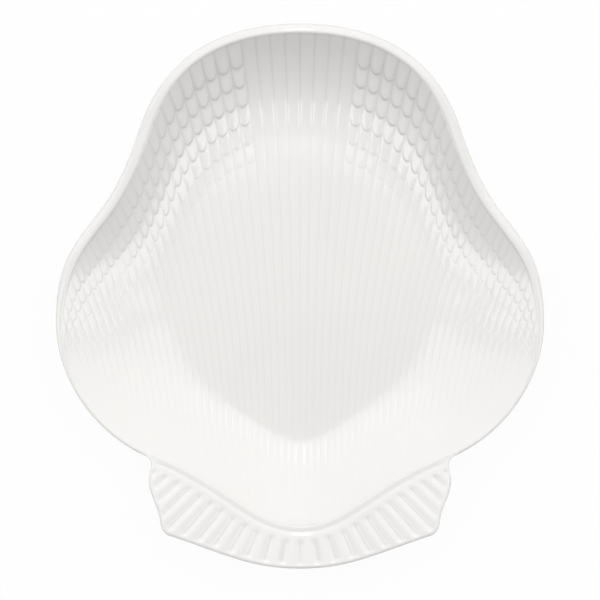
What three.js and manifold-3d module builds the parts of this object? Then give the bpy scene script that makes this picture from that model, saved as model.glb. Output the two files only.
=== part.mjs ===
// Shell dish: a fluted porcelain serving dish on a foot ring, with a grip tab at its hinge end.
// Millimetres, +Z up. The table is z = 0, the hinge end and its tab point to -Y,
// and the origin is the middle of the dish's length and width.
import * as THREE from 'three';
import { mergeVertices } from 'three/addons/utils/BufferGeometryUtils.js';
import Module from 'manifold-3d';

// Driving dimensions: the shell's rim in plan, right half
const BACK_Y = 120; // back edge of the rim
const SHOULDER_X = 70.4; // where the back lobe turns into the hollow flank
const SHOULDER_Y = 74.4;
const WAIST_X = 87.8; // where the flank turns into the side lobe
const WAIST_Y = 38.3;
const SIDE_X = 107.7; // widest point of the side lobe
const SIDE_Y = -11.4;
const NECK_X = 65; // where the rim passes over the tab
const NECK_Y = -71.7;
const FRONT_Y = -103; // front tip of the rim
const WELL_Y = -10; // middle of the well, which the walls run out from

// Driving dimensions: heights and thicknesses
const FOOT_HEIGHT = 6;
const FLOOR_THICKNESS = 4.5;
const RIM_BACK_Z = 36; // the rim falls from the back to the front
const RIM_FRONT_Z = 21.5;
const RIM_CURVE = 2; // power of the rim's rise to the back: 1 is a flat plane
const LIP_WIDTH_BACK = 4.4; // smooth rolled lip, which thins out along the side lobes
const LIP_WIDTH_FRONT = 1.8;
const LIP_THICKNESS = 3.4;
const FLOOR_WIDTH = 114; // flat floor of the well, oval at the back and more pointed at the front
const FLOOR_BACK = 80; // from the middle of the well to the floor's back end
const FLOOR_FRONT = 51;
const FLOOR_FRONT_POWER = 1.4; // 2 is an oval, 1 is straight lines to the front tip
const WALL_CURVE_BACK = 2.55; // power of the wall's rise: 1 is a straight slope
const WALL_CURVE_WAIST = 2.3;
const WALL_CURVE_SIDE = 1.5;
const WALL_CURVE_FRONT = 1.9;

// Driving dimensions: flutes
const FLUTE_ROOT_Y = -89.5; // where the flutes leave the hinge, side by side
const FLUTE_PITCH_HINGE = 2.9;
const FLUTE_PITCH_BACK = 6.8;
const FLUTE_DEPTH = 0.4;

// Driving dimensions: tab and foot ring
const TAB_REACH = 17; // how far the tab runs out beyond the rim's front tip
const TAB_BULGE = 1.7; // how far the tab's ends swell out beyond the neck
const TAB_CORNER_X = 61.7; // outer end of the tab, above its rounded corner
const TAB_CORNER_RISE = 20.6; // from the tab's front back to that end
const TAB_CORNER_SIZE = 6; // how far the rounded corner reaches down
const TAB_THICKNESS = 5;
const TAB_DROP = 0.4; // how far the tab's top lies under the rim
const TAB_TILT = 0.085; // rise of the tab's top for each mm out from the rim
const TAB_ROOT = 14; // how far the tab reaches in under the rim before it meets the wall
const TAB_EDGE_ROUND = 1.4;
const FOOT_INSET = 11; // from the edge of the flat floor in to the middle of the foot ring
const FOOT_TOP_WIDTH = 5;
const FOOT_STAND_WIDTH = 2.4; // flat face that the dish stands on
const FOOT_CHAMFER = 0.8;
const JOINT_GAP = 0.3; // slip joint between the tab and the shell

// Mesh fineness
const STEPS_PER_CURVE = 48;
const ROWS_ALONG_FLUTE = 16;
const FOOT_SIDES = 120;
const TAB_STEPS = 36; // sections across each half of the tab
const CUTTER_SIDES = 240;
const FLUTE_END_MARGIN = 0.3; // least share of a flute between the last two columns

const wasm = await Module();
wasm.setup();

const degrees = THREE.MathUtils.degToRad;
const clamp = THREE.MathUtils.clamp;
const lerp = THREE.MathUtils.lerp;
const smoothstep = THREE.MathUtils.smoothstep;
const wellMiddle = new THREE.Vector2(0, WELL_Y);

// Rim outline, from the back to the front along the right side.
// Each knot has its heading in degrees and how far the curve keeps to it before and after.
const rimKnots = [
  { x: 0, y: BACK_Y, heading: 0, after: 29.8 },
  { x: SHOULDER_X, y: SHOULDER_Y, heading: -71.3, before: 37, after: 11.3 },
  { x: WAIST_X, y: WAIST_Y, heading: -52.8, before: 14.8, after: 19.3 },
  { x: SIDE_X, y: SIDE_Y, heading: -90, before: 27, after: 23.3 },
  { x: NECK_X, y: NECK_Y, heading: -158, before: 29.2, after: 37.5 },
  { x: 0, y: FRONT_Y, heading: -180, before: 21.2 },
];

function knotHandle(knot, reach) {
  const angle = degrees(knot.heading);
  return new THREE.Vector2(knot.x + reach * Math.cos(angle), knot.y + reach * Math.sin(angle));
}

function curvesThrough(knots) {
  return knots.slice(1).map((end, i) => {
    const start = knots[i];
    return new THREE.CubicBezierCurve(
      new THREE.Vector2(start.x, start.y),
      knotHandle(start, start.after),
      knotHandle(end, -end.before),
      new THREE.Vector2(end.x, end.y),
    );
  });
}

function lipWidth(y) {
  return lerp(LIP_WIDTH_FRONT, LIP_WIDTH_BACK, smoothstep(y, NECK_Y, WAIST_Y));
}

// Points of the rim with their outward normals, from the back to the front along the right side.
function sampleRim() {
  const samples = [];
  curvesThrough(rimKnots).forEach((curve, piece) => {
    for (let i = piece ? 1 : 0; i <= STEPS_PER_CURVE; i++) {
      const point = curve.getPoint(i / STEPS_PER_CURVE);
      const along = curve.getTangent(i / STEPS_PER_CURVE);
      const normal = new THREE.Vector2(-along.y, along.x);
      const inner = point.clone().addScaledVector(normal, -lipWidth(point.y));
      samples.push({ point, normal, inner, flute: fluteAt(inner) });
    }
  });
  return samples;
}

// Flutes: lines that leave the hinge side by side and spread towards the back
function flutePitch(y) {
  const spread = (y - FLUTE_ROOT_Y) / (BACK_Y - FLUTE_ROOT_Y);
  return FLUTE_PITCH_HINGE + (FLUTE_PITCH_BACK - FLUTE_PITCH_HINGE) * spread * spread;
}

function fluteAt(point) {
  return point.x / flutePitch(point.y);
}

const rim = sampleRim();

function between(a, b, share) {
  return {
    point: a.point.clone().lerp(b.point, share),
    normal: a.normal.clone().lerp(b.normal, share).normalize(),
    inner: a.inner.clone().lerp(b.inner, share),
  };
}

// Distance from the middle of the well to the rim, or to the lip's inner edge, in a given direction
function reachTable(key) {
  return rim.map((sample) => {
    const arm = sample[key].clone().sub(wellMiddle);
    return { angle: Math.atan2(arm.x, arm.y), reach: arm.length() };
  });
}

function firstPast(list, isPast) {
  const found = list.findIndex(isPast);
  return found < 0 ? list.length - 1 : Math.max(found, 1);
}

function reachIn(table, x, y) {
  const angle = Math.atan2(Math.abs(x), y - WELL_Y);
  const next = firstPast(table, (entry) => entry.angle >= angle);
  const [a, b] = [table[next - 1], table[next]];
  return lerp(a.reach, b.reach, clamp((angle - a.angle) / (b.angle - a.angle), 0, 1));
}

const rimReach = reachTable('point');
const innerReach = reachTable('inner');

function rimZ(y) {
  const share = clamp((y - FRONT_Y) / (BACK_Y - FRONT_Y), 0, 1);
  return lerp(RIM_FRONT_Z, RIM_BACK_Z, share ** RIM_CURVE);
}

// Distance from the middle of the well to the edge of its flat floor, in a given direction
function floorReach(x, y) {
  const isBack = y > WELL_Y;
  const angle = Math.atan2(Math.abs(x), y - WELL_Y);
  const power = isBack ? 2 : FLOOR_FRONT_POWER;
  const across = Math.sin(angle) / (FLOOR_WIDTH / 2);
  const along = Math.abs(Math.cos(angle)) / (isBack ? FLOOR_BACK : FLOOR_FRONT);
  return (across ** power + along ** power) ** (-1 / power);
}

// Where the straight line from the middle of the well through a point meets the rim
function rimYBeyond(x, y) {
  const share = reachIn(rimReach, x, y) / Math.max(Math.hypot(x, y - WELL_Y), 1e-6);
  return WELL_Y + (y - WELL_Y) * share;
}

function rimZBeyond(x, y) {
  return rimZ(rimYBeyond(x, y));
}

// The wall's curve changes from one turn of the rim to the next
function wallCurve(rimY) {
  const sides = lerp(WALL_CURVE_FRONT, WALL_CURVE_SIDE, smoothstep(rimY, NECK_Y, SIDE_Y));
  const flanks = lerp(sides, WALL_CURVE_WAIST, smoothstep(rimY, SIDE_Y, WAIST_Y));
  return lerp(flanks, WALL_CURVE_BACK, smoothstep(rimY, WAIST_Y, BACK_Y));
}

// Share of the wall's rise at a point: 0 on the floor, 1 at the top of the wall
function wallRise(table, x, y) {
  const floorEdge = floorReach(x, y);
  const share = (Math.hypot(x, y - WELL_Y) - floorEdge) / (reachIn(table, x, y) - floorEdge);
  return clamp(share, 0, 1) ** wallCurve(rimYBeyond(x, y));
}

// Lip section: an ellipse from the wall's top, over the crest, round to the underside
const lipAngles = [140, 100, 60, 20, -20, -55].map(degrees);
const lipHalfHeight = LIP_THICKNESS / 2;

function lipZ(y, angle) {
  return rimZ(y) - lipHalfHeight * (1 - Math.sin(angle));
}

function lipPoint(edge, angle) {
  const halfWidth = lipWidth(edge.point.y) / (1 - Math.cos(lipAngles[0]));
  const inset = halfWidth * (1 - Math.cos(angle));
  const plan = edge.point.clone().addScaledVector(edge.normal, -inset);
  return new THREE.Vector3(plan.x, plan.y, lipZ(edge.point.y, angle));
}

const floorTop = FOOT_HEIGHT + FLOOR_THICKNESS;
const wallTopDrop = lipHalfHeight * (1 - Math.sin(lipAngles[0]));

function topZ(x, y) {
  return lerp(floorTop, rimZBeyond(x, y) - wallTopDrop, wallRise(innerReach, x, y));
}

function underZ(x, y) {
  return lerp(FOOT_HEIGHT, rimZBeyond(x, y) - LIP_THICKNESS, wallRise(rimReach, x, y));
}

// A closed mesh that is made ring by ring
class Surface {
  positions = [];
  faces = [];

  add(point) {
    this.positions.push(point.x, point.y, point.z);
    return this.positions.length / 3 - 1;
  }

  addRing(points) {
    return points.map((point) => this.add(point));
  }

  joinRings(from, to) {
    from.forEach((a, i) => {
      const next = (i + 1) % from.length;
      this.faces.push(a, to[i], to[next], a, to[next], from[next]);
    });
  }

  closeRing(ring, point) {
    const middle = this.add(point);
    ring.forEach((a, i) => this.faces.push(a, middle, ring[(i + 1) % ring.length]));
  }

  geometry() {
    const made = new THREE.BufferGeometry();
    made.setAttribute('position', new THREE.Float32BufferAttribute(this.positions, 3));
    made.setIndex(this.faces);
    made.computeVertexNormals();
    return made;
  }
}

// Where each flute line meets the lip at its back and front ends
function rimEdgeAtFlute(stretch, flute) {
  const rising = stretch[0].flute < stretch[stretch.length - 1].flute;
  const next = firstPast(stretch, (sample) => (rising ? sample.flute >= flute : sample.flute <= flute));
  const [a, b] = [stretch[next - 1], stretch[next]];
  return between(a, b, clamp((flute - a.flute) / (b.flute - a.flute), 0, 1));
}

function mirrored(edge) {
  const flip = (v) => new THREE.Vector2(-v.x, v.y);
  return { point: flip(edge.point), normal: flip(edge.normal), inner: flip(edge.inner) };
}

// Columns of the well, one on each groove and each crest, from the left side to the right
function fluteColumns() {
  const widest = rim.reduce((best, sample, i) => (sample.flute > rim[best].flute ? i : best), 0);
  const backStretch = rim.slice(0, widest + 1);
  const frontStretch = rim.slice(widest);
  const last = rim[widest].flute;
  const right = [];
  for (let flute = 0; flute < last - FLUTE_END_MARGIN; flute += 0.5) {
    right.push({
      flute,
      back: rimEdgeAtFlute(backStretch, flute),
      front: rimEdgeAtFlute(frontStretch, flute),
    });
  }
  right.push({ flute: last, back: rim[widest], front: rim[widest], isEnd: true });
  const left = right.slice(1).reverse().map((column) => ({
    ...column,
    flute: -column.flute,
    back: mirrored(column.back),
    front: mirrored(column.front),
  }));
  return [...left, ...right];
}

function fluteRelief(flute, rowShare) {
  const groove = Number.isInteger(flute) ? FLUTE_DEPTH : 0;
  const fadeAtLip = Math.sin(Math.PI * rowShare);
  return -groove * fadeAtLip;
}

function wellColumn(surface, column) {
  if (column.isEnd) {
    return [surface.add(lipPoint(column.back, lipAngles[0]))];
  }
  const indices = [];
  for (let row = 0; row <= ROWS_ALONG_FLUTE; row++) {
    const share = row / ROWS_ALONG_FLUTE;
    const isEdge = row === 0 || row === ROWS_ALONG_FLUTE;
    if (isEdge) {
      indices.push(surface.add(lipPoint(row ? column.back : column.front, lipAngles[0])));
      continue;
    }
    const y = lerp(column.front.inner.y, column.back.inner.y, (1 - Math.cos(Math.PI * share)) / 2);
    const x = column.flute * flutePitch(y);
    const z = topZ(x, y) + fluteRelief(column.flute, share);
    indices.push(surface.add(new THREE.Vector3(x, y, z)));
  }
  return indices;
}

function joinColumns(surface, left, right) {
  for (let row = 0; row < ROWS_ALONG_FLUTE; row++) {
    const [a, d] = left.length > 1 ? [left[row], left[row + 1]] : [left[0], left[0]];
    const [b, c] = right.length > 1 ? [right[row], right[row + 1]] : [right[0], right[0]];
    if (b !== c) {
      surface.faces.push(a, b, c);
    }
    if (a !== d) {
      surface.faces.push(a, c, d);
    }
  }
}

// Rings of the underside, from under the lip in to the edge of the flat floor
const undersideShares = [0.12, 0.28, 0.46, 0.66, 0.86, 1];

function undersideRing(edges, share, grow = 0) {
  return edges.map((edge) => {
    const { x, y } = edge.point;
    const arm = edge.point.clone().sub(wellMiddle);
    const plan = arm.setLength(lerp(arm.length(), floorReach(x, y), share)).add(wellMiddle);
    const grown = plan.clone().addScaledVector(edge.normal, grow);
    return new THREE.Vector3(grown.x, grown.y, underZ(plan.x, plan.y) - grow);
  });
}

function shellBodyGeometry() {
  const surface = new Surface();
  const columns = fluteColumns();
  const well = columns.map((column) => wellColumn(surface, column));
  for (let i = 1; i < well.length; i++) {
    joinColumns(surface, well[i - 1], well[i]);
  }

  // The lip's inner edge, once round: along the front to the right, and along the back to the left
  const inside = columns.slice(1, -1);
  const lastColumn = columns.length - 1;
  const edges = [
    columns[0].front,
    ...inside.map((column) => column.front),
    columns[lastColumn].front,
    ...inside.map((column) => column.back).reverse(),
  ];
  const innerWell = well.slice(1, -1);
  let ring = [
    well[0][0],
    ...innerWell.map((column) => column[0]),
    well[lastColumn][0],
    ...innerWell.map((column) => column[ROWS_ALONG_FLUTE]).reverse(),
  ];
  const addRing = (points) => {
    const next = surface.addRing(points);
    surface.joinRings(ring, next);
    ring = next;
  };
  lipAngles.slice(1).forEach((angle) => addRing(edges.map((edge) => lipPoint(edge, angle))));
  undersideShares.forEach((share) => addRing(undersideRing(edges, share)));
  surface.closeRing(ring, new THREE.Vector3(0, WELL_Y, FOOT_HEIGHT));
  return surface.geometry();
}

// Evenly spread points once round the rim, counterclockwise from the front
function rimLoop(count) {
  const half = [...rim].reverse();
  const along = [0];
  half.slice(1).forEach((sample, i) => along.push(along[i] + sample.point.distanceTo(half[i].point)));
  const total = along[along.length - 1];
  const right = [];
  for (let i = 0; i <= count / 2; i++) {
    const target = (total * i) / (count / 2);
    const next = firstPast(along, (length) => length >= target);
    const share = (target - along[next - 1]) / (along[next] - along[next - 1]);
    right.push(between(half[next - 1], half[next], clamp(share, 0, 1)));
  }
  return [...right, ...right.slice(1, -1).reverse().map(mirrored)];
}

// Foot ring: a little inside the edge of the flat floor, and egg-shaped as it is
function footRingGeometry() {
  const surface = new Surface();
  const halfWidth = FLOOR_WIDTH / 2 - FOOT_INSET;
  const angles = Array.from({ length: FOOT_SIDES }, (_, i) => (i / FOOT_SIDES) * 2 * Math.PI);
  const half = FOOT_STAND_WIDTH / 2;
  const section = [
    [FOOT_TOP_WIDTH / 2, FOOT_HEIGHT],
    [half + FOOT_CHAMFER, FOOT_CHAMFER],
    [half, 0],
    [-half, 0],
    [-half - FOOT_CHAMFER, FOOT_CHAMFER],
    [-FOOT_TOP_WIDTH / 2, FOOT_HEIGHT],
  ];
  const rings = section.map(([offset, z]) =>
    surface.addRing(
      angles.map((angle) => {
        const length = (Math.sin(angle) > 0 ? FLOOR_BACK : FLOOR_FRONT) - FOOT_INSET;
        const x = (halfWidth + offset) * Math.cos(angle);
        const y = WELL_Y + (length + offset) * Math.sin(angle);
        return new THREE.Vector3(x, y, z);
      }),
    ),
  );
  rings.forEach((ring, i) => surface.joinRings(ring, rings[(i + 1) % rings.length]));
  return surface.geometry();
}

function solidFrom(geometry) {
  const bare = geometry.clone();
  bare.deleteAttribute('normal');
  bare.deleteAttribute('uv');
  const merged = mergeVertices(bare);
  return new wasm.Manifold(
    new wasm.Mesh({
      numProp: 3,
      vertProperties: merged.attributes.position.array,
      triVerts: new Uint32Array(merged.index.array),
    }),
  );
}

function geometryFrom(solid) {
  const mesh = solid.getMesh();
  const made = new THREE.BufferGeometry();
  made.setAttribute('position', new THREE.Float32BufferAttribute(mesh.vertProperties, 3));
  made.setIndex(Array.from(mesh.triVerts));
  made.computeVertexNormals();
  return made;
}

// The shell's outer form, filled to above the rim and grown by the joint's gap
function shellCutter() {
  const surface = new Surface();
  const edges = rimLoop(CUTTER_SIDES);
  const rimRing = (lift) =>
    edges.map((edge) => {
      const plan = edge.point.clone().addScaledVector(edge.normal, JOINT_GAP);
      return new THREE.Vector3(plan.x, plan.y, lift);
    });
  const top = surface.addRing(rimRing(RIM_BACK_Z + LIP_THICKNESS));
  const skin = edges.map((edge) => {
    const plan = edge.point.clone().addScaledVector(edge.normal, JOINT_GAP);
    return new THREE.Vector3(plan.x, plan.y, rimZ(edge.point.y) - LIP_THICKNESS - JOINT_GAP);
  });
  let ring = surface.addRing(skin);
  surface.joinRings(top, ring);
  undersideShares.forEach((share) => {
    const next = surface.addRing(undersideRing(edges, share, JOINT_GAP));
    surface.joinRings(ring, next);
    ring = next;
  });
  surface.closeRing(ring, new THREE.Vector3(0, WELL_Y, FOOT_HEIGHT - JOINT_GAP));
  surface.closeRing([...top].reverse(), new THREE.Vector3(0, WELL_Y, RIM_BACK_Z + LIP_THICKNESS));
  return solidFrom(surface.geometry());
}

// Outer edge of the tab, right half: a swelling end, a rounded corner and a bowed front
const tabFrontY = FRONT_Y - TAB_REACH;
const tabCornerY = tabFrontY + TAB_CORNER_RISE;
const tabEnd = NECK_Y - tabCornerY;
const wingKnots = [
  { x: NECK_X, y: NECK_Y, heading: -80, after: tabEnd * 0.1 },
  {
    x: NECK_X + TAB_BULGE,
    y: NECK_Y - tabEnd * 0.34,
    heading: -90,
    before: tabEnd * 0.12,
    after: tabEnd * 0.23,
  },
  { x: TAB_CORNER_X, y: tabCornerY, heading: -95, before: tabEnd * 0.25, after: TAB_CORNER_SIZE * 0.48 },
  {
    x: TAB_CORNER_X - TAB_CORNER_SIZE * 0.65,
    y: tabCornerY - TAB_CORNER_SIZE,
    heading: -162,
    before: TAB_CORNER_SIZE * 0.34,
    after: 24.6,
  },
  { x: 0, y: tabFrontY, heading: -180, before: 22.5 },
];

// One closed section across the tab: out along its top, round its edge and back along its underside
function tabSection(edge, end) {
  const arm = end.clone().sub(edge.point);
  const reach = Math.max(arm.length(), JOINT_GAP / 2);
  const outward = arm.length() > JOINT_GAP / 2 ? arm.normalize() : edge.normal;
  const inward = edge.point.clone().sub(wellMiddle).setLength(-TAB_ROOT);
  const round = Math.min(TAB_EDGE_ROUND, reach / 3);
  const rimTop = rimZ(edge.point.y) - TAB_DROP;
  const edgeTop = rimTop + TAB_TILT * (reach - round);
  const at = (start, direction, distance, z) => {
    const plan = start.clone().addScaledVector(direction, distance);
    return new THREE.Vector3(plan.x, plan.y, z);
  };
  const rounding = [0, 45, 90, 135, 180].map(degrees).map((turn) =>
    at(
      edge.point,
      outward,
      reach - round * (1 - Math.sin(turn)),
      edgeTop - (TAB_THICKNESS * (1 - Math.cos(turn))) / 2,
    ),
  );
  return [
    at(edge.point, inward, 1, rimTop),
    at(edge.point, outward, 0, rimTop),
    ...rounding,
    at(edge.point, outward, 0, rimTop - TAB_THICKNESS),
    at(edge.point, inward, 1, rimTop - TAB_THICKNESS),
  ];
}

function hingeTabGeometry() {
  const rimOverTab = curvesThrough(rimKnots).at(-1);
  const wing = new THREE.CurvePath();
  curvesThrough(wingKnots).forEach((curve) => wing.add(curve));
  const right = [];
  for (let i = 0; i <= TAB_STEPS; i++) {
    const share = i / TAB_STEPS;
    const along = rimOverTab.getTangentAt(share);
    const edge = { point: rimOverTab.getPointAt(share), normal: new THREE.Vector2(-along.y, along.x) };
    right.push(tabSection(edge, wing.getPoint(share)));
  }
  const flip = (section) => section.map((point) => new THREE.Vector3(-point.x, point.y, point.z));
  const sections = [...right, ...right.slice(0, -1).reverse().map(flip)];

  const surface = new Surface();
  const rings = sections.map((section) => surface.addRing(section));
  rings.slice(1).forEach((ring, i) => surface.joinRings(rings[i], ring));
  const middle = (section) =>
    section.reduce((sum, point) => sum.add(point), new THREE.Vector3()).divideScalar(section.length);
  surface.closeRing([...rings[0]].reverse(), middle(sections[0]));
  surface.closeRing(rings[rings.length - 1], middle(sections[sections.length - 1]));
  return geometryFrom(solidFrom(surface.geometry()).subtract(shellCutter()));
}

const glazedPorcelain = new THREE.MeshStandardMaterial({ color: 0xf3f2ef, roughness: 0.12, metalness: 0 });
const bareBiscuit = new THREE.MeshStandardMaterial({ color: 0xe9e6df, roughness: 0.75, metalness: 0 });

function piece(name, geometry, material) {
  const mesh = new THREE.Mesh(geometry, material);
  mesh.name = name;
  return mesh;
}

const dish = new THREE.Group();
dish.add(
  piece('shell_body', shellBodyGeometry(), glazedPorcelain),
  piece('hinge_tab', hingeTabGeometry(), glazedPorcelain),
  piece('foot_ring', footRingGeometry(), bareBiscuit),
);

export default dish;
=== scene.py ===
import math
from bisect import bisect_left
from collections import namedtuple

import bmesh
import bpy
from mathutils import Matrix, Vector
from mathutils.geometry import interpolate_bezier


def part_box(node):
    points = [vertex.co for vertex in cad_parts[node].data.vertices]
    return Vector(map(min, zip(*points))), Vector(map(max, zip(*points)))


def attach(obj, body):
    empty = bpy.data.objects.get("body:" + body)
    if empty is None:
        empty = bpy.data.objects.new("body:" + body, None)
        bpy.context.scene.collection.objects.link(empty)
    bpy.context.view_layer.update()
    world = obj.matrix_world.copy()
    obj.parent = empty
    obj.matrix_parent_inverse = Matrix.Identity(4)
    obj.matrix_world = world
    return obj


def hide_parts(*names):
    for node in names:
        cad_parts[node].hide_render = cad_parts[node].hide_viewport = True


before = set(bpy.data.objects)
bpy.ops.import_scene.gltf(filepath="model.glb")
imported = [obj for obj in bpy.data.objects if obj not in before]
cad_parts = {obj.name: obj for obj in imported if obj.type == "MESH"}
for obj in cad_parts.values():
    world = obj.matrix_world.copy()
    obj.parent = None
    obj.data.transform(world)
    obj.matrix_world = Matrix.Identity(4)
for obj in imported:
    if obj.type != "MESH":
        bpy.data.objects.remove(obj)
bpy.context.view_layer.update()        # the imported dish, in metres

shellLow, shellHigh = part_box("shell_body")
tabLow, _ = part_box("hinge_tab")
mm = 0.001
weldDistance = 0.002 * mm        # vertices closer than this become one
print("frame loaded:", ", ".join(sorted(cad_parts)))


# small helpers

def mix(a, b, share):
    return a + (b - a) * share


def clamp(value, low=0.0, high=1.0):
    return max(low, min(high, value))


def ease(low, high, value):        # 0 below low, 1 above high, smooth between
    share = clamp((value - low) / (high - low))
    return share * share * (3 - 2 * share)


def nothingSelected():
    if bpy.context.object and bpy.context.object.mode != "OBJECT":
        bpy.ops.object.mode_set(mode="OBJECT")
    bpy.ops.object.select_all(action="DESELECT")


# a flat sheet to be pressed into shape, with one vertex for each column and row
def gridSheet(name, columns, rows):
    nothingSelected()
    bpy.ops.mesh.primitive_grid_add(x_subdivisions=columns - 1, y_subdivisions=rows - 1, size=2)
    sheet = bpy.context.object
    sheet.name = name
    sheet.data.name = name
    return sheet


# moves each vertex to its place in mm, strips[column][row], and notes its share of thick glaze with
# painted shade
def pressSheet(sheet, strips):
    columns, rows = len(strips), len(strips[0])
    shadeAndPool = sheet.data.attributes.new("recessShadeAndPool", "FLOAT", "POINT")
    for vertex in sheet.data.vertices:
        column = round((vertex.co.x + 1) / 2 * (columns - 1))
        row = round((vertex.co.y + 1) / 2 * (rows - 1))
        x, y, z, shadeAndGlazeShare = strips[column][row]
        vertex.co = (x * mm, y * mm, z * mm)
        shadeAndPool.data[vertex.index].value = shadeAndGlazeShare


def sewSheet(sheet):        # merges edges that meet, closes open ones, turns all faces outwards
    nothingSelected()
    sheet.select_set(True)
    bpy.context.view_layer.objects.active = sheet
    bpy.ops.object.mode_set(mode="EDIT")
    bpy.ops.mesh.select_all(action="SELECT")
    bpy.ops.mesh.remove_doubles(threshold=weldDistance)
    bpy.ops.mesh.select_all(action="DESELECT")
    bpy.ops.mesh.select_non_manifold(extend=False, use_wire=False, use_multi_face=False,
                                     use_non_contiguous=False, use_verts=False)
    bpy.ops.mesh.fill_holes(sides=0)
    bpy.ops.mesh.select_all(action="SELECT")
    bpy.ops.mesh.normals_make_consistent(inside=False)
    bpy.ops.object.mode_set(mode="OBJECT")
    bpy.ops.object.shade_smooth()


# rim and well, in mm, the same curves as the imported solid

rim = {
    "knots": [        # x, y, heading in degrees, how far the curve keeps to it before and after
        (0, shellHigh.y / mm, 0, 0, 29.8),
        (70.4, 74.4, -71.3, 37, 11.3),
        (87.8, 38.3, -52.8, 14.8, 19.3),
        (shellHigh.x / mm, -11.4, -90, 27, 23.3),
        (65, -71.7, -158, 29.2, 37.5),
        (0, shellLow.y / mm, -180, 21.2, 0),
    ],
    "steps": 160,        # along each stretch between two knots
    "backZ": shellHigh.z / mm,
    "frontZ": 21.5,
    "curve": 2,        # power of the rim's rise from the front to the back
    "lipWide": 4.9,        # rolled lip along the flanks
    "lipBack": 4.4,        # and round the back
    "lipNarrow": 2.0,        # it thins out along the side lobes
    "lipGrows": (-45, 30),        # y where the lip starts and where it is full
    "lipTurns": (80, 115),        # y where the flank's width becomes the back's
    "lipThickness": 3.4,
    "lipStepBack": 0.9,        # how far the wall starts under the lip's crest
    "lipStepSide": 0.22,
    "lipStepFront": 0.36,
    "stepTurns": (-80, -55),        # y where the front's step becomes the side's
    "lipBreakBack": 5,        # how sharply the lip's flat top breaks into the wall
    "lipBreakFront": 2,
    "lipTilt": 0.12,        # fall of the lip's top for each mm outwards
}
well = {
    "middleY": -10,
    "floorWidth": 114,        # the flat floor is an oval at the back and more pointed at the front
    "floorBack": 80,
    "floorFront": 51,
    "frontPower": 1.4,
    "underZ": shellLow.z / mm,
    "floorThickness": 4.5,
    "curves": [        # the rim's y, power of the wall's rise to it, where 1 is a straight slope
        (-71.7, 1.9), (-11.4, 1.5), (38.3, 2.3), (119.8, 2.55),
    ],
}
flutes = {
    "rootY": -89.5,
    "pitchHinge": 2.9,
    "pitchBack": 6.8,
    "spots": [0, 0.06, 0.14, 0.28, 0.5, 0.72, 0.86, 0.94],        # columns, 0 is the groove
    "endColumns": 9,        # extra columns where the side lobe turns
    "endGap": 0.5,        # share of a flute that they take at least
    "grooveDepth": 0.38,
    "grooveWidth": 0.085,        # share of a flute
    "crown": 0.1,        # how far a reed swells above its edges
    "backShares": (1, 0.4, 1),        # how much groove, crown and thick glaze with painted shade there is
    "floorShares": (0.07, 0.4, 0.65),
    "frontShares": (0.08, 0.4, 0.25),
    "frontTurns": (-75, -45),        # y where the front's shares become the floor's
    "backTurns": (55, 108),        # and the floor's become the back's
    "fadeMiddle": 14,        # how far from the front rim a flute fades out
    "fadeSide": 34,
    "fadeTurns": (6, 26),        # flutes between the two
}
scales = {
    "firstFlute": 4,        # plain reeds up to here, scales from here outwards
    "rows": 8,
    "steps": [0, 0.1, 0.3, 0.55, 0.8, 0.93, 0.975],        # rows of the mesh in one row of scales
    "bandBack": 66,        # length of the scaled band along a flute
    "bandSide": 52,
    "sideFlute": 16,
    "bandMost": 0.6,        # share of a flute that the band takes at most
    "bow": 0.34,        # how far a scale's round end reaches, as a share of its length
    "bowStart": 0.1,        # share of the band in which the round ends grow
    "edgeRun": 0.3,        # share of a scale's width that rises from the groove
    "riseEnd": 0.95,        # where along a scale it is highest
    "noseStart": 0.9,        # its end is rounded off from here
    "noseFall": 0.25,
    "footRun": 0.12,        # share of a scale's length that lies in thick glaze with painted shade
    "heightRim": 1.7,
    "heightFall": 2.1,        # power of its fall towards the well
    "sideShare": 0.16,        # how much of the height is left on the side lobes
    "sideTurns": (8, 22),        # flutes in which it falls to that
    "turnRun": (3, 22),        # length of a flute with no scales, and with full ones
    "footShadeAndPool": 0.9,        # thick glaze and painted shade at the foot of a scale
}
RimSpot = namedtuple("RimSpot", "x y nx ny ix iy flute")


def alongHeading(knot, distance):
    angle = math.radians(knot[2])
    return Vector((knot[0] + distance * math.cos(angle), knot[1] + distance * math.sin(angle), 0))


def curveThrough(knots, steps):
    points = []
    for start, end in zip(knots, knots[1:]):
        stretch = interpolate_bezier(
            alongHeading(start, 0), alongHeading(start, start[4]),
            alongHeading(end, -end[3]), alongHeading(end, 0), steps + 1)
        points += stretch[1:] if points else stretch
    return points


def outwardNormals(points):        # for a line that runs clockwise, mirrored at its ends
    normals = []
    for i, point in enumerate(points):
        behind = points[i - 1] if i else Vector((-points[1].x, points[1].y, 0))
        isLast = i + 1 == len(points)
        ahead = Vector((-points[i - 1].x, points[i - 1].y, 0)) if isLast else points[i + 1]
        along = (ahead - behind).normalized()
        normals.append((-along.y, along.x))
    return normals


def flutePitch(y):
    spread = (y - flutes["rootY"]) / (rim["knots"][0][1] - flutes["rootY"])
    return flutes["pitchHinge"] + (flutes["pitchBack"] - flutes["pitchHinge"]) * spread * spread


def lipShare(y):        # 0 where the rim is plain, 1 where it has its full lip
    return ease(*rim["lipGrows"], y)


def lipWidth(y):
    full = mix(rim["lipWide"], rim["lipBack"], ease(*rim["lipTurns"], y))
    return mix(rim["lipNarrow"], full, lipShare(y))


def lipStep(y):
    plain = mix(rim["lipStepFront"], rim["lipStepSide"], ease(*rim["stepTurns"], y))
    return mix(plain, rim["lipStepBack"], lipShare(y) ** 2)


def rimZ(y):
    backY, frontY = rim["knots"][0][1], rim["knots"][-1][1]
    return mix(rim["frontZ"], rim["backZ"], clamp((y - frontY) / (backY - frontY)) ** rim["curve"])


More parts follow.
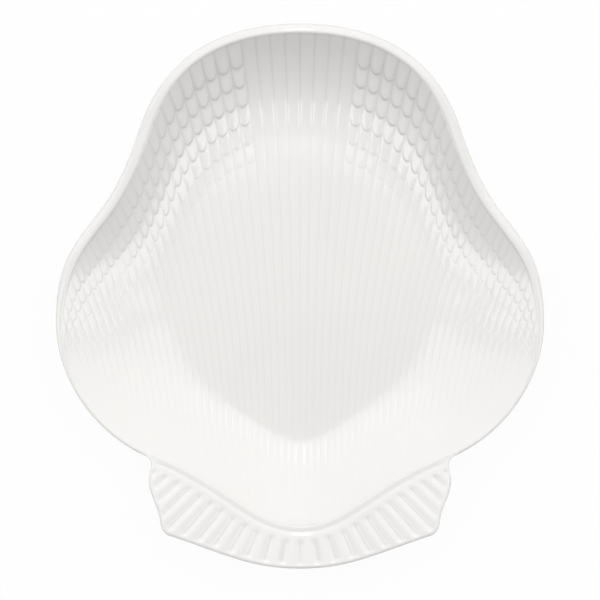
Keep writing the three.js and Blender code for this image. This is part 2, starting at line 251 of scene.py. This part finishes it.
def makeRimSpots():
    points = curveThrough(rim["knots"], rim["steps"])
    spots = []
    for point, (nx, ny) in zip(points, outwardNormals(points)):
        ix = max(point.x - nx * lipWidth(point.y), 0)
        iy = point.y - ny * lipWidth(point.y)
        spots.append(RimSpot(point.x, point.y, nx, ny, ix, iy, ix / flutePitch(iy)))
    return spots


rimSpots = makeRimSpots()


def reachTable(xs, ys):        # how far the edge is from the middle of the well, by direction
    angles = [math.atan2(x, y - well["middleY"]) for x, y in zip(xs, ys)]
    reaches = [math.hypot(x, y - well["middleY"]) for x, y in zip(xs, ys)]
    return angles, reaches


rimReach = reachTable([s.x for s in rimSpots], [s.y for s in rimSpots])
innerReach = reachTable([s.ix for s in rimSpots], [s.iy for s in rimSpots])


def reachIn(table, x, y):
    angles, reaches = table
    angle = math.atan2(abs(x), y - well["middleY"])
    i = clamp(bisect_left(angles, angle), 1, len(angles) - 1)
    share = clamp((angle - angles[i - 1]) / (angles[i] - angles[i - 1]))
    return mix(reaches[i - 1], reaches[i], share)


def floorReach(x, y):
    angle = math.atan2(abs(x), y - well["middleY"])
    isBack = y > well["middleY"]
    power = 2 if isBack else well["frontPower"]
    across = math.sin(angle) / (well["floorWidth"] / 2)
    along = abs(math.cos(angle)) / (well["floorBack"] if isBack else well["floorFront"])
    return (across ** power + along ** power) ** (-1 / power)


def rimYBeyond(x, y):
    share = reachIn(rimReach, x, y) / max(math.hypot(x, y - well["middleY"]), 1e-6)
    return well["middleY"] + (y - well["middleY"]) * share


def wallCurve(rimY):
    power = well["curves"][0][1]
    for (startY, before), (endY, after) in zip(well["curves"], well["curves"][1:]):
        power += (after - before) * ease(startY, endY, rimY)
    return power


def wallRise(table, x, y):
    floorEdge = floorReach(x, y)
    share = (math.hypot(x, y - well["middleY"]) - floorEdge) / (reachIn(table, x, y) - floorEdge)
    return clamp(share) ** wallCurve(rimYBeyond(x, y))


def topZ(x, y):
    rimY = rimYBeyond(x, y)
    wallTop = rimZ(rimY) - lipStep(rimY)
    return mix(well["underZ"] + well["floorThickness"], wallTop, wallRise(innerReach, x, y))


def underZ(x, y):
    wallTop = rimZ(rimYBeyond(x, y)) - rim["lipThickness"]
    return mix(well["underZ"], wallTop, wallRise(rimReach, x, y))


# shell body: one sheet whose columns follow the flutes,
# from under the back, over the lip and the well, to under the front

shellEdge = {
    "underShares": [1, 0.88, 0.74, 0.6, 0.46, 0.33, 0.22, 0.13, 0.06],        # floor's edge to rim
    "lipOutside": [        # inset at front and back by the lip's width, drop by its thickness
        (0.3, 0.3, 0.99), (0.12, 0.12, 0.9), (0.03, 0.03, 0.74), (0, 0, 0.56), (0.02, 0.01, 0.36),
        (0.075, 0.035, 0.19), (0.17, 0.09, 0.075), (0.31, 0.2, 0.02), (0.45, 0.4, 0),
    ],
    "lipInside": [0.56, 0.68, 0.78, 0.86, 0.93, 0.975],        # insets from there to the wall
    "lipCrest": 0.78,        # inset of the lip's highest line
    "plainRows": 70,        # rows below the scales
    "rowPower": 1.15,        # closer together towards the front
}


def spotAtFlute(stretch, numbers, flute):
    i = clamp(bisect_left(numbers, flute), 1, len(numbers) - 1)
    share = clamp((flute - numbers[i - 1]) / (numbers[i] - numbers[i - 1]))
    return RimSpot(*[mix(a, b, share) for a, b in zip(stretch[i - 1], stretch[i])])


def fluteColumns():        # (flute number, spot at the back, spot at the front), from left to right
    widest = max(range(len(rimSpots)), key=lambda i: rimSpots[i].flute)
    back, front = rimSpots[:widest + 1], rimSpots[widest:][::-1]
    backNumbers, frontNumbers = [s.flute for s in back], [s.flute for s in front]
    last = rimSpots[widest].flute
    numbers = [whole + share for whole in range(math.ceil(last)) for share in flutes["spots"]]
    numbers = [number for number in numbers if number < last - flutes["endGap"]]
    spare = last - numbers[-1]
    for i in range(flutes["endColumns"] - 1, 0, -1):        # closer together where the lobe turns
        numbers.append(last - spare * (i / flutes["endColumns"]) ** 2)
    right = [(n, spotAtFlute(back, backNumbers, n), spotAtFlute(front, frontNumbers, n))
             for n in numbers]
    right.append((last, rimSpots[widest], rimSpots[widest]))
    left = [(-n, mirrored(b), mirrored(f)) for n, b, f in right[:0:-1]]
    return left + right


def mirrored(spot):
    return spot._replace(x=-spot.x, nx=-spot.nx, ix=-spot.ix)


def edgeStrip(spot):        # from the floor's edge under the dish, out to the rim and over the lip
    strip = []
    armX, armY = spot.x, spot.y - well["middleY"]
    reach = math.hypot(armX, armY)
    for share in shellEdge["underShares"]:
        scale = mix(reach, floorReach(spot.x, spot.y), share) / reach
        x, y = armX * scale, well["middleY"] + armY * scale
        strip.append((x, y, underZ(x, y), 0))
    lip = lipShare(spot.y)
    section = [(mix(front, back, lip), drop * rim["lipThickness"], 1 - drop)
               for front, back, drop in shellEdge["lipOutside"]]
    sharpness = mix(rim["lipBreakFront"], rim["lipBreakBack"], lip)
    section += [(inset, lipStep(spot.y) * (2 * inset - 1) ** sharpness, 1)
                for inset in shellEdge["lipInside"]]
    tilt = rim["lipTilt"] * lip * lipWidth(spot.y)
    for inset, drop, tilted in section:
        inward = inset * lipWidth(spot.y)
        x, y = spot.x - spot.nx * inward, spot.y - spot.ny * inward
        outwards = max(shellEdge["lipCrest"] - inset, 0)
        strip.append((x, y, rimZ(spot.y) - drop - tilt * outwards * tilted, 0))
    return strip


def blendShares(before, after, share):
    return [mix(a, b, share) for a, b in zip(before, after)]


def reedRelief(flute, y):        # height, and thick glaze with painted shade, which is deepest in the groove
    share = abs(flute) % 1
    fromGroove = min(share, 1 - share)
    groove = math.exp(-(fromGroove / flutes["grooveWidth"]) ** 2)
    crown = (1 - 2 * fromGroove) ** 2
    onFloor, atBack = ease(*flutes["frontTurns"], y), ease(*flutes["backTurns"], y)
    inWell = blendShares(flutes["frontShares"], flutes["floorShares"], onFloor)
    deep, full, recessShade = blendShares(inWell, flutes["backShares"], atBack)
    return -flutes["grooveDepth"] * groove * deep - flutes["crown"] * crown * full, groove * recessShade


# height and thick glaze with painted shade, where share runs from 0 at the lip to 1 at the band's
# inner end
def scaleRelief(flute, share):
    if abs(flute) < scales["firstFlute"] or share >= 1:
        return 0, 0
    across = abs(flute) % 1
    onScale = ease(0, scales["edgeRun"], min(across, 1 - across))
    along = share * scales["rows"] % 1
    nose = 1 - scales["noseFall"] * ease(scales["noseStart"], 1, along)
    rise = ease(0, scales["riseEnd"], along) * nose
    height = scales["heightRim"] * (1 - share) ** scales["heightFall"]
    # the foot of each scale gets thick glaze with painted shade
    atFoot = 1 - ease(0, scales["footRun"], along)
    return height * rise * onScale, scales["footShadeAndPool"] * atFoot * onScale * (1 - share)


def wellStrip(flute, back, front):        # along one flute, from the lip at the back to the front
    length = back.iy - front.iy
    side = ease(scales["firstFlute"], scales["sideFlute"], abs(flute))
    band = min(mix(scales["bandBack"], scales["bandSide"], side), scales["bandMost"] * length)
    across = abs(flute) % 1
    bow = scales["bow"] * band / scales["rows"] * (1 - (2 * across - 1) ** 2)
    if abs(flute) < scales["firstFlute"]:
        bow = 0
    shares = [(row + step) / scales["rows"]
              for row in range(scales["rows"]) for step in scales["steps"]]
    strip = []
    for share in shares:
        fall = band * share + bow * ease(0, scales["bowStart"], share)
        strip.append((back.iy - fall, share))
    bandEnd = band + bow
    for i in range(shellEdge["plainRows"] + 1):
        share = 1 - (1 - i / shellEdge["plainRows"]) ** shellEdge["rowPower"]
        strip.append((back.iy - mix(bandEnd, length, share), 1))
    outwards = ease(*flutes["fadeTurns"], abs(flute))
    fadeLength = mix(flutes["fadeMiddle"], flutes["fadeSide"], outwards)
    fullness = ease(*scales["turnRun"], length)        # none where the side lobe turns
    fullness *= mix(1, scales["sideShare"], ease(*scales["sideTurns"], abs(flute)))
    points = []
    for row, (y, share) in enumerate(strip):
        x = flute * flutePitch(y)
        if row in (0, len(strip) - 1):
            spot = front if row else back
            x, y = math.copysign(spot.ix, spot.x) if spot.x else 0, spot.iy
        fade = ease(0, fadeLength, y - front.iy)
        reed, groove = reedRelief(flute, y)
        scale, footShadeAndGlaze = scaleRelief(flute, share)
        z = topZ(x, y) + reed * fade + scale * fullness
        # the fourth value is the share of thick glaze with painted shade, from grooves and scale
        # feet
        points.append((x, y, z, max(groove * fade, footShadeAndGlaze * fullness)))
    return points


def makeShell():
    strips = []
    for flute, back, front in fluteColumns():
        strips.append(edgeStrip(back) + wellStrip(flute, back, front) + edgeStrip(front)[::-1])
    shell = gridSheet("dishShell", len(strips), len(strips[0]))
    pressSheet(shell, strips)
    sewSheet(shell)
    print("shell pressed:", len(shell.data.polygons), "faces")
    return shell


# grip tab: its columns run from the crest of the shell's front rim out to the tab's own edge

tab = {
    "wing": [        # x, y, heading, before and after, from the neck round to the front
        (69.9, -69.1, -158, 0, 3),
        (65.6, -74.6, -83, 2.2, 2),
        (66.7, -81.2, -90, 3, 6.3),
        (61.7, -99.4, -95, 6.8, 2.9),
        (57.8, -105.4, -162, 2, 24.6),
        (0, tabLow.y / mm, -180, 22.5, 0),
    ],
    "edgeSteps": 40,        # along each stretch between two knots
    "lobes": 14,        # gadroons on each half
    "lobeColumns": 10,
    "lobePower": 4,        # how squarely a lobe is rounded
    "lobeSeam": 0.16,        # share of a lobe's width that holds thick glaze with painted shade
    "lean": 0.05,        # how far the lobes lean outwards
    "thickness": 5,
    "thickRun": (0, 10),        # width of the tab where it is thin as the lip, and fully thick
    "drop": 0.05,        # top of the tab under the rim's crest
    "tilt": 0.075,        # rise of the tab for each mm out from the crest
    "margin": (4.675, 7.425),        # from the crest out to where the lobes start, and are full
    "edgeRound": 0.9,
    "edgeTurns": (25, 50, 75, 90, 110, 135, 160, 180),        # degrees round the edge
    "edgeBand": (1.68, 3.36),        # from the tab's edge in to where the lobes start, and are full
    "coveStart": 0.3,        # soft hollow along the crest
    "coveWidth": 3.2,
    "coveDepth": 0.095,
    "coveRun": (4, 12),        # width of the tab with no hollow, and with a full one
    "lobeHeight": 0.32,
    "tuck": [-0.6, -0.4, -0.2],        # rows that lie hidden under the crest
    "topRows": 48,
    "rowPower": 1.3,        # closer rows beside the crest
    "seatDepth": 1.0,        # how far the tab is bedded into the shell's wall
    "seatTries": 24,        # halvings in the search for that wall
    "crestCover": 0.8,        # least thickness of the lip over the bedded part
    "underRows": 6,
    "riseRows": 5,
}


def lineAlong(points):        # gives the point at a share of the line's length
    lengths = [0]
    for a, b in zip(points, points[1:]):
        lengths.append(lengths[-1] + (b - a).length)

    def pointAt(share):
        distance = share * lengths[-1]
        i = clamp(bisect_left(lengths, distance), 1, len(lengths) - 1)
        part = clamp((distance - lengths[i - 1]) / (lengths[i] - lengths[i - 1]))
        return points[i - 1].lerp(points[i], part)
    return pointAt


def tabTop(inner, outer, lobeShare):        # from the crest to the start of the rounded edge
    reach = max((outer - inner).length, 0.01)
    hollow = abs(2 * lobeShare - 1) ** tab["lobePower"]
    # seams between the lobes get thick glaze with painted shade
    groove = 1 - ease(0, tab["lobeSeam"], min(lobeShare, 1 - lobeShare))
    roundOff = min(tab["edgeRound"], reach / 3)        # less where the tab is narrow
    coveDepth = tab["coveDepth"] * ease(*tab["coveRun"], reach)
    outs = tab["tuck"] + [(reach - roundOff) * (i / tab["topRows"]) ** tab["rowPower"]
                          for i in range(tab["topRows"] + 1)]
    top = []
    for out in outs:
        point = inner.lerp(outer, out / reach)
        field = ease(*tab["margin"], out) * ease(*tab["edgeBand"], reach - out)
        cove = math.sin(math.pi * clamp((out - tab["coveStart"]) / tab["coveWidth"])) ** 2
        z = inner.z - tab["drop"] + (tab["tilt"] * out if out > 0 else -out * out)
        z -= field * tab["lobeHeight"] * hollow + cove * coveDepth
        top.append((point.x, point.y, z, groove * field))
    return top, roundOff


def seatUnderRim(inner):        # where the tab's underside meets the shell's wall
    arm = Vector((inner.x, inner.y - well["middleY"], 0))
    near, far = 0.5, 1.0        # shares of the way out from the middle of the well
    for _ in range(tab["seatTries"]):
        middle = (near + far) / 2
        x, y = arm.x * middle, well["middleY"] + arm.y * middle
        if underZ(x, y) < inner.z - tab["drop"] - tab["thickness"]:
            near = middle
        else:
            far = middle
    far -= tab["seatDepth"] / arm.length
    return Vector((arm.x * far, well["middleY"] + arm.y * far, 0))


def tabLoop(inner, outer, lobeShare):        # one closed loop across the tab
    loop, roundOff = tabTop(inner, outer, lobeShare)
    direction = Vector((outer.x - inner.x, outer.y - inner.y, 0)).normalized()
    thickShare = ease(*tab["thickRun"], (outer - inner).length)
    thickness = mix(rim["lipThickness"], tab["thickness"], thickShare)
    edgeX, edgeY, edgeZ, _ = loop[-1]
    for turn in tab["edgeTurns"]:        # round the outer edge
        angle = math.radians(turn)
        out = roundOff * math.sin(angle)
        fall = thickness * (1 - math.cos(angle)) / 2
        loop.append((edgeX + direction.x * out, edgeY + direction.y * out, edgeZ - fall, 0))
    bottom = Vector((edgeX, edgeY, edgeZ - thickness))
    seat = seatUnderRim(inner)
    seat.z = inner.z - tab["drop"] - tab["thickness"]
    for i in range(1, tab["underRows"] + 1):        # flat underside, in to the shell's wall
        loop.append((*bottom.lerp(seat, i / tab["underRows"]), 0))
    for i in range(1, tab["riseRows"] + 1):        # up inside the wall to under the crest
        point = seat.lerp(inner, i / tab["riseRows"])
        bedded = underZ(point.x, point.y) + tab["seatDepth"]
        loop.append((point.x, point.y, min(bedded, inner.z - tab["crestCover"]), 0))
    loop.append(loop[0])
    return loop


def makeTab():
    startY = tab["wing"][0][1]
    crest = []
    for spot in rimSpots:
        if spot.y <= startY:
            inward = lipWidth(spot.y) / 2
            x, y = spot.x - spot.nx * inward, spot.y - spot.ny * inward
            crest.append(Vector((x, y, rimZ(spot.y))))
    crestAt, edgeAt = lineAlong(crest), lineAlong(curveThrough(tab["wing"], tab["edgeSteps"]))
    count = tab["lobes"] * tab["lobeColumns"]
    right = []
    for i in range(count + 1):
        share = i / count
        inner = crestAt(share)
        outer = edgeAt(clamp(share - tab["lean"] * math.sin(math.pi * share)))
        outer.z = inner.z
        right.append(tabLoop(inner, outer, share * tab["lobes"] % 1))
    left = [[(-x, y, z, shadeAndGlazeShare) for x, y, z, shadeAndGlazeShare in strip] for strip in right[-2::-1]]
    strips = right + left
    piece = gridSheet("gripTab", len(strips), len(strips[0]))
    pressSheet(piece, strips)
    sewSheet(piece)
    print("tab pressed:", len(piece.data.polygons), "faces")
    return piece


# foot ring: an egg-shaped loop, drawn round and taken through its section

foot = {
    "sides": 192,
    "inset": 11,        # from the floor's edge in to the middle of the ring
    "section": [        # offset from the middle of the ring and height
        (2.5, 6), (2.25, 4.2), (2.05, 2.2), (1.95, 1.0), (1.7, 0.35), (1.2, 0),
        (-1.2, 0), (-1.7, 0.35), (-1.95, 1.0), (-2.05, 2.2), (-2.25, 4.2), (-2.5, 6),
    ],
    "weld": 0.005,        # where the last loop meets the first
    "sharpAngle": 40,        # degrees, from which an edge stays crisp
}


def footSize(offset):        # half width, length to the back, length to the front
    grow = (offset - foot["inset"]) * mm
    sizes = well["floorWidth"] / 2, well["floorBack"], well["floorFront"]
    return [size * mm + grow for size in sizes]


def resizeLoop(ring, last, new):        # the selected loop, its front half by its own measure
    middle = (0, 0, 0)
    toBack = (new[0] / last[0], new[1] / last[1], 1)
    bpy.ops.transform.resize(value=toBack, center_override=middle)
    mesh = bmesh.from_edit_mesh(ring.data)
    loop = [vertex for vertex in mesh.verts if vertex.select]
    for vertex in loop:
        vertex.select_set(vertex.co.y < -weldDistance)
    mesh.select_flush_mode()
    toFront = (1, new[2] / last[2] * last[1] / new[1], 1)
    bpy.ops.transform.resize(value=toFront, center_override=middle)
    for vertex in loop:
        vertex.select_set(True)
    mesh.select_flush_mode()
    bmesh.update_edit_mesh(ring.data)


def makeFoot():
    nothingSelected()
    bpy.ops.mesh.primitive_circle_add(vertices=foot["sides"], radius=1, fill_type="NOTHING")
    ring = bpy.context.object
    ring.name = "footRing"
    ring.data.name = "footRing"
    bpy.ops.object.mode_set(mode="EDIT")
    offset, height = foot["section"][0]
    resizeLoop(ring, (1, 1, 1), footSize(offset))
    bpy.ops.transform.translate(value=(0, 0, height * mm))
    steps = zip(foot["section"], foot["section"][1:] + foot["section"][:1])
    for (lastOffset, lastHeight), (offset, height) in steps:
        rise = (0, 0, (height - lastHeight) * mm)
        bpy.ops.mesh.extrude_region_move(TRANSFORM_OT_translate={"value": rise})
        resizeLoop(ring, footSize(lastOffset), footSize(offset))
    bpy.ops.mesh.select_all(action="SELECT")
    bpy.ops.mesh.remove_doubles(threshold=foot["weld"] * mm)
    bpy.ops.transform.translate(value=(0, well["middleY"] * mm, 0))
    bpy.ops.mesh.normals_make_consistent(inside=False)
    bpy.ops.object.mode_set(mode="OBJECT")
    bpy.ops.object.shade_smooth_by_angle(angle=math.radians(foot["sharpAngle"]))
    print("foot ring turned:", len(ring.data.polygons), "faces")
    return ring


# finishes

class Value:        # a shader value that takes part in plain sums
    def __init__(self, kit, socket):
        self.kit = kit
        self.socket = socket

    def __add__(self, other):
        return self.kit.sum("ADD", self, other)

    def __radd__(self, other):
        return self.kit.sum("ADD", other, self)

    def __sub__(self, other):
        return self.kit.sum("SUBTRACT", self, other)

    def __rsub__(self, other):
        return self.kit.sum("SUBTRACT", other, self)

    def __mul__(self, other):
        return self.kit.sum("MULTIPLY", self, other)

    def __rmul__(self, other):
        return self.kit.sum("MULTIPLY", other, self)


class NodeKit:
    def __init__(self, tree):
        self.tree = tree
        tree.nodes.clear()

    def add(self, kind, settings=None, inputs=None, output=0):
        node = self.tree.nodes.new(kind)
        for name, value in (settings or {}).items():
            setattr(node, name, value)
        for name, value in (inputs or {}).items():
            if isinstance(value, Value):
                self.tree.links.new(value.socket, node.inputs[name])
            else:
                node.inputs[name].default_value = value
        return Value(self, node.outputs[output]) if node.outputs else node

    def sum(self, operation, a, b):
        return self.add("ShaderNodeMath", {"operation": operation}, {0: a, 1: b})

    def limit(self, value, low, high):        # 0 at low, 1 at high
        return self.add("ShaderNodeMapRange", {"interpolation_type": "SMOOTHSTEP"},
                        {"Value": value, "From Min": low, "From Max": high})

    def blend(self, share, a, b):        # colour a to colour b
        return self.add("ShaderNodeMix", {"data_type": "RGBA"}, {0: share, 6: a, 7: b}, output=2)

    def noise(self, coords, scale, detail, roughness=0.5):
        return self.add("ShaderNodeTexNoise", None, {
            "Vector": coords, "Scale": scale, "Detail": detail, "Roughness": roughness})


def newFinish(name):
    material = bpy.data.materials.new(name)
    material.use_nodes = True
    return material, NodeKit(material.node_tree)


glaze = {
    "white": (0.869, 0.856, 0.835, 1),
    "cloud": (0.844, 0.832, 0.816, 1),        # slow drift of the body's tone
    "recessShade": (0.77, 0.763, 0.752, 1),        # painted shade in the grooves, seams and scale feet, where the glaze lies thick
    "driftScale": 16,
    "driftRange": (0.35, 0.7),        # noise at which the tone is white, and clouded
    "recessShadeRange": (0.1, 1),        # recess share at which the painted shade starts to show, and shows in full
    "recessShadeShare": 0.8,
    "roughness": 0.16,
    "roughnessDrift": 0.06,
    "roughnessPool": 0.08,        # thick glaze is smoother
    "coatLeast": 0.8,
    "coatDrift": 0.2,
    "coatRoughness": 0.035,
    "coatIor": 1.5,
    "rippleScale": 150,        # slight unevenness of a fired glaze
    "rippleStrength": 0.06,
    "rippleDepth": 0.0004,
}
biscuit = {
    "pale": (0.8, 0.785, 0.75, 1),
    "worn": (0.66, 0.645, 0.61, 1),
    "wornRange": (0.42, 0.66),        # noise at which the clay is pale, and worn
    "bareRange": (0.0009, 0.0012),        # height where it is bare up to, and glazed from
    "wanderScale": 70,        # the glaze's edge wanders up and down
    "wanderHeight": 0.0006,
    "wanderShare": 0.6,        # share of the wear that follows it, the rest follows the grain
    "grainScale": 1400,
    "grainRoughness": 0.7,
    "bareRoughness": 0.48,        # added to the glaze's
    "coat": 0.9,
    "bumpStrength": 0.35,
    "bumpDepth": 0.00012,
    "rippleShare": 0.3,        # the glaze's unevenness beside the grain of the clay
}


def glazeTone(kit, coords):        # the white under the glaze, with a faint drift
    drift = kit.noise(coords, glaze["driftScale"], 3)
    clouded = kit.limit(drift, *glaze["driftRange"])
    return kit.blend(clouded, glaze["white"], glaze["cloud"]), drift


def glazedPorcelain():
    material, kit = newFinish("glazedPorcelain")
    coords = kit.add("ShaderNodeTexCoord", output=3)
    tone, drift = glazeTone(kit, coords)
    # recesses: thick glaze that is smoother, and a darker colour there that is painted shade
    shadeAndPool = kit.add("ShaderNodeAttribute", {"attribute_name": "recessShadeAndPool"}, output=2)
    recessShade = kit.limit(shadeAndPool, *glaze["recessShadeRange"]) * glaze["recessShadeShare"]
    variation = glaze["roughnessDrift"] * drift - glaze["roughnessPool"] * shadeAndPool
    ripple = kit.noise(coords, glaze["rippleScale"], 2)
    bump = kit.add("ShaderNodeBump", None, {
        "Strength": glaze["rippleStrength"], "Distance": glaze["rippleDepth"], "Height": ripple})
    shader = kit.add("ShaderNodeBsdfPrincipled", None, {
        "Base Color": kit.blend(recessShade, tone, glaze["recessShade"]),
        "Roughness": glaze["roughness"] + variation,
        "Coat Weight": glaze["coatLeast"] + glaze["coatDrift"] * drift,
        "Coat Roughness": glaze["coatRoughness"],
        "Coat IOR": glaze["coatIor"],
        "Normal": bump,
    })
    kit.add("ShaderNodeOutputMaterial", None, {"Surface": shader})
    return material


def footPorcelain():
    material, kit = newFinish("footPorcelain")
    coords = kit.add("ShaderNodeTexCoord", output=3)
    height = kit.add("ShaderNodeSeparateXYZ", None, {"Vector": coords}, output=2)
    wander = kit.noise(coords, biscuit["wanderScale"], 3)
    grain = kit.noise(coords, biscuit["grainScale"], 3, biscuit["grainRoughness"])
    ripple = kit.noise(coords, glaze["rippleScale"], 2)
    tone, drift = glazeTone(kit, coords)
    edge = height + biscuit["wanderHeight"] * (wander - 0.5)
    bare = 1 - kit.limit(edge, *biscuit["bareRange"])
    wear = wander * biscuit["wanderShare"] + grain * (1 - biscuit["wanderShare"])
    rubbed = kit.blend(kit.limit(wear, *biscuit["wornRange"]), biscuit["pale"], biscuit["worn"])
    bump = kit.add("ShaderNodeBump", None, {
        "Strength": biscuit["bumpStrength"],
        "Distance": biscuit["bumpDepth"],
        "Height": grain * bare + biscuit["rippleShare"] * ripple * (1 - bare),
    })
    variation = glaze["roughnessDrift"] * drift + biscuit["bareRoughness"] * bare
    shader = kit.add("ShaderNodeBsdfPrincipled", None, {
        "Base Color": kit.blend(bare, tone, rubbed),
        "Roughness": glaze["roughness"] + variation,
        "Coat Weight": biscuit["coat"] * (1 - bare),
        "Coat Roughness": glaze["coatRoughness"],
        "Coat IOR": glaze["coatIor"],
        "Normal": bump,
    })
    kit.add("ShaderNodeOutputMaterial", None, {"Surface": shader})
    return material


# studio: white table, white room, and soft panels overhead, at the back and to the left and right

studio = {
    "cameraHeight": 3.0,
    "pixel": 0.00043956,        # metres on the rim's plane in one pixel of the 600 pixel frame
    "frame": 600,
    "aimY": -0.0015,
    "sensor": 36,
    "clipEnd": 60,
    "roomLight": 0.35,
    "frontShade": 0.6,        # share of the room's light that is missing in front of the dish
    "shadeRun": (-0.2, -0.8),        # it goes as the direction turns to the front
    "tableSize": 30,
    "tableZ": -0.00005,        # a hair under the foot's flat face
    "tableWhite": 0.95,        # share of the table that shows as plain white
    "paper": [(0.9, 0.9, 0.9, 1), (0.92, 0.92, 0.92, 1)],
    "mottleScale": 3,
    "panelHeight": 2.4,
    "keyHeight": 2.38,        # the bright panel hangs just under the others
    "panels": {        # low and high x, low and high y, brightness, where 1 shows as white
        "backPanel": (-4.2, 4.2, 0.12, 3.6, 1.13),
        "leftPanel": (-4.2, -0.65, -1.3, -0.1, 1.55),
        "rightPanel": (0.65, 4.2, -1.3, -0.1, 1.55),
        "keyPanel": (-0.07, 0.05, 0.25, 0.8, 3.2),
    },
}


def plainRay(kit):        # 1 for rays that show the background: straight, mirrored or through glass
    rays = [kit.add("ShaderNodeLightPath", output=name)
            for name in ("Is Camera Ray", "Is Glossy Ray", "Is Transmission Ray")]
    return kit.sum("MAXIMUM", kit.sum("MAXIMUM", rays[0], rays[1]), rays[2])


def makeTable():
    nothingSelected()
    bpy.ops.mesh.primitive_plane_add(size=studio["tableSize"], location=(0, 0, studio["tableZ"]))
    table = bpy.context.object
    table.name = "table"
    material, kit = newFinish("tableWhite")
    coords = kit.add("ShaderNodeTexCoord", output=3)
    mottle = kit.noise(coords, studio["mottleScale"], 2)
    paper = kit.add("ShaderNodeBsdfDiffuse", None, {"Color": kit.blend(mottle, *studio["paper"])})
    glow = kit.add("ShaderNodeEmission", None, {"Color": (1, 1, 1, 1), "Strength": 1})
    surface = kit.add("ShaderNodeMixShader", None, {
        0: plainRay(kit) * studio["tableWhite"], 1: paper, 2: glow})
    kit.add("ShaderNodeOutputMaterial", None, {"Surface": surface})
    table.data.materials.append(material)


def makeRoom():
    world = bpy.data.worlds.new("whiteRoom")
    bpy.context.scene.world = world
    world.use_nodes = True
    kit = NodeKit(world.node_tree)
    direction = kit.add("ShaderNodeTexCoord", output="Generated")
    towardsBack = kit.add("ShaderNodeSeparateXYZ", None, {"Vector": direction}, output="Y")
    shade = studio["frontShade"] * kit.limit(towardsBack, *studio["shadeRun"])
    light = studio["roomLight"] * (1 - shade)
    strength = light + plainRay(kit) * (1 - light)
    sky = kit.add("ShaderNodeBackground", None, {"Color": (1, 1, 1, 1), "Strength": strength})
    kit.add("ShaderNodeOutputWorld", None, {"Surface": sky})


def makeSoftPanels():
    for name, (lowX, highX, lowY, highY, brightness) in studio["panels"].items():
        nothingSelected()
        height = studio["keyHeight"] if name == "keyPanel" else studio["panelHeight"]
        place = ((lowX + highX) / 2, (lowY + highY) / 2, height)
        bpy.ops.object.light_add(type="AREA", location=place, rotation=(0, 0, 0))
        panel = bpy.context.object
        panel.name = name
        panel.data.shape = "RECTANGLE"
        panel.data.size, panel.data.size_y = highX - lowX, highY - lowY
        panel.data.energy = brightness * math.pi * panel.data.size * panel.data.size_y
        panel.visible_camera = False        # so that it hides nothing in other views


def makeCamera():
    nothingSelected()
    place = (0, studio["aimY"], studio["cameraHeight"])
    bpy.ops.object.camera_add(location=place, rotation=(0, 0, 0))        # straight down
    camera = bpy.context.object
    camera.name = "camera"
    rimPlane = (rim["backZ"] + rim["frontZ"]) / 2 * mm
    width = studio["pixel"] * studio["frame"]
    camera.data.sensor_width = studio["sensor"]
    camera.data.lens = studio["sensor"] * (studio["cameraHeight"] - rimPlane) / width
    camera.data.clip_end = studio["clipEnd"]
    bpy.context.scene.camera = camera


def dress(piece, node, material):
    piece.data.materials.clear()
    piece.data.materials.append(material)
    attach(piece, "root")
    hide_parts(node)


bpy.context.scene.view_settings.view_transform = "Standard"
makeCamera()
makeRoom()
makeSoftPanels()
makeTable()
print("studio set")

porcelain = glazedPorcelain()
dress(makeShell(), "shell_body", porcelain)
dress(makeTab(), "hinge_tab", porcelain)
dress(makeFoot(), "foot_ring", footPorcelain())
print("dish dressed")

nothingSelected()
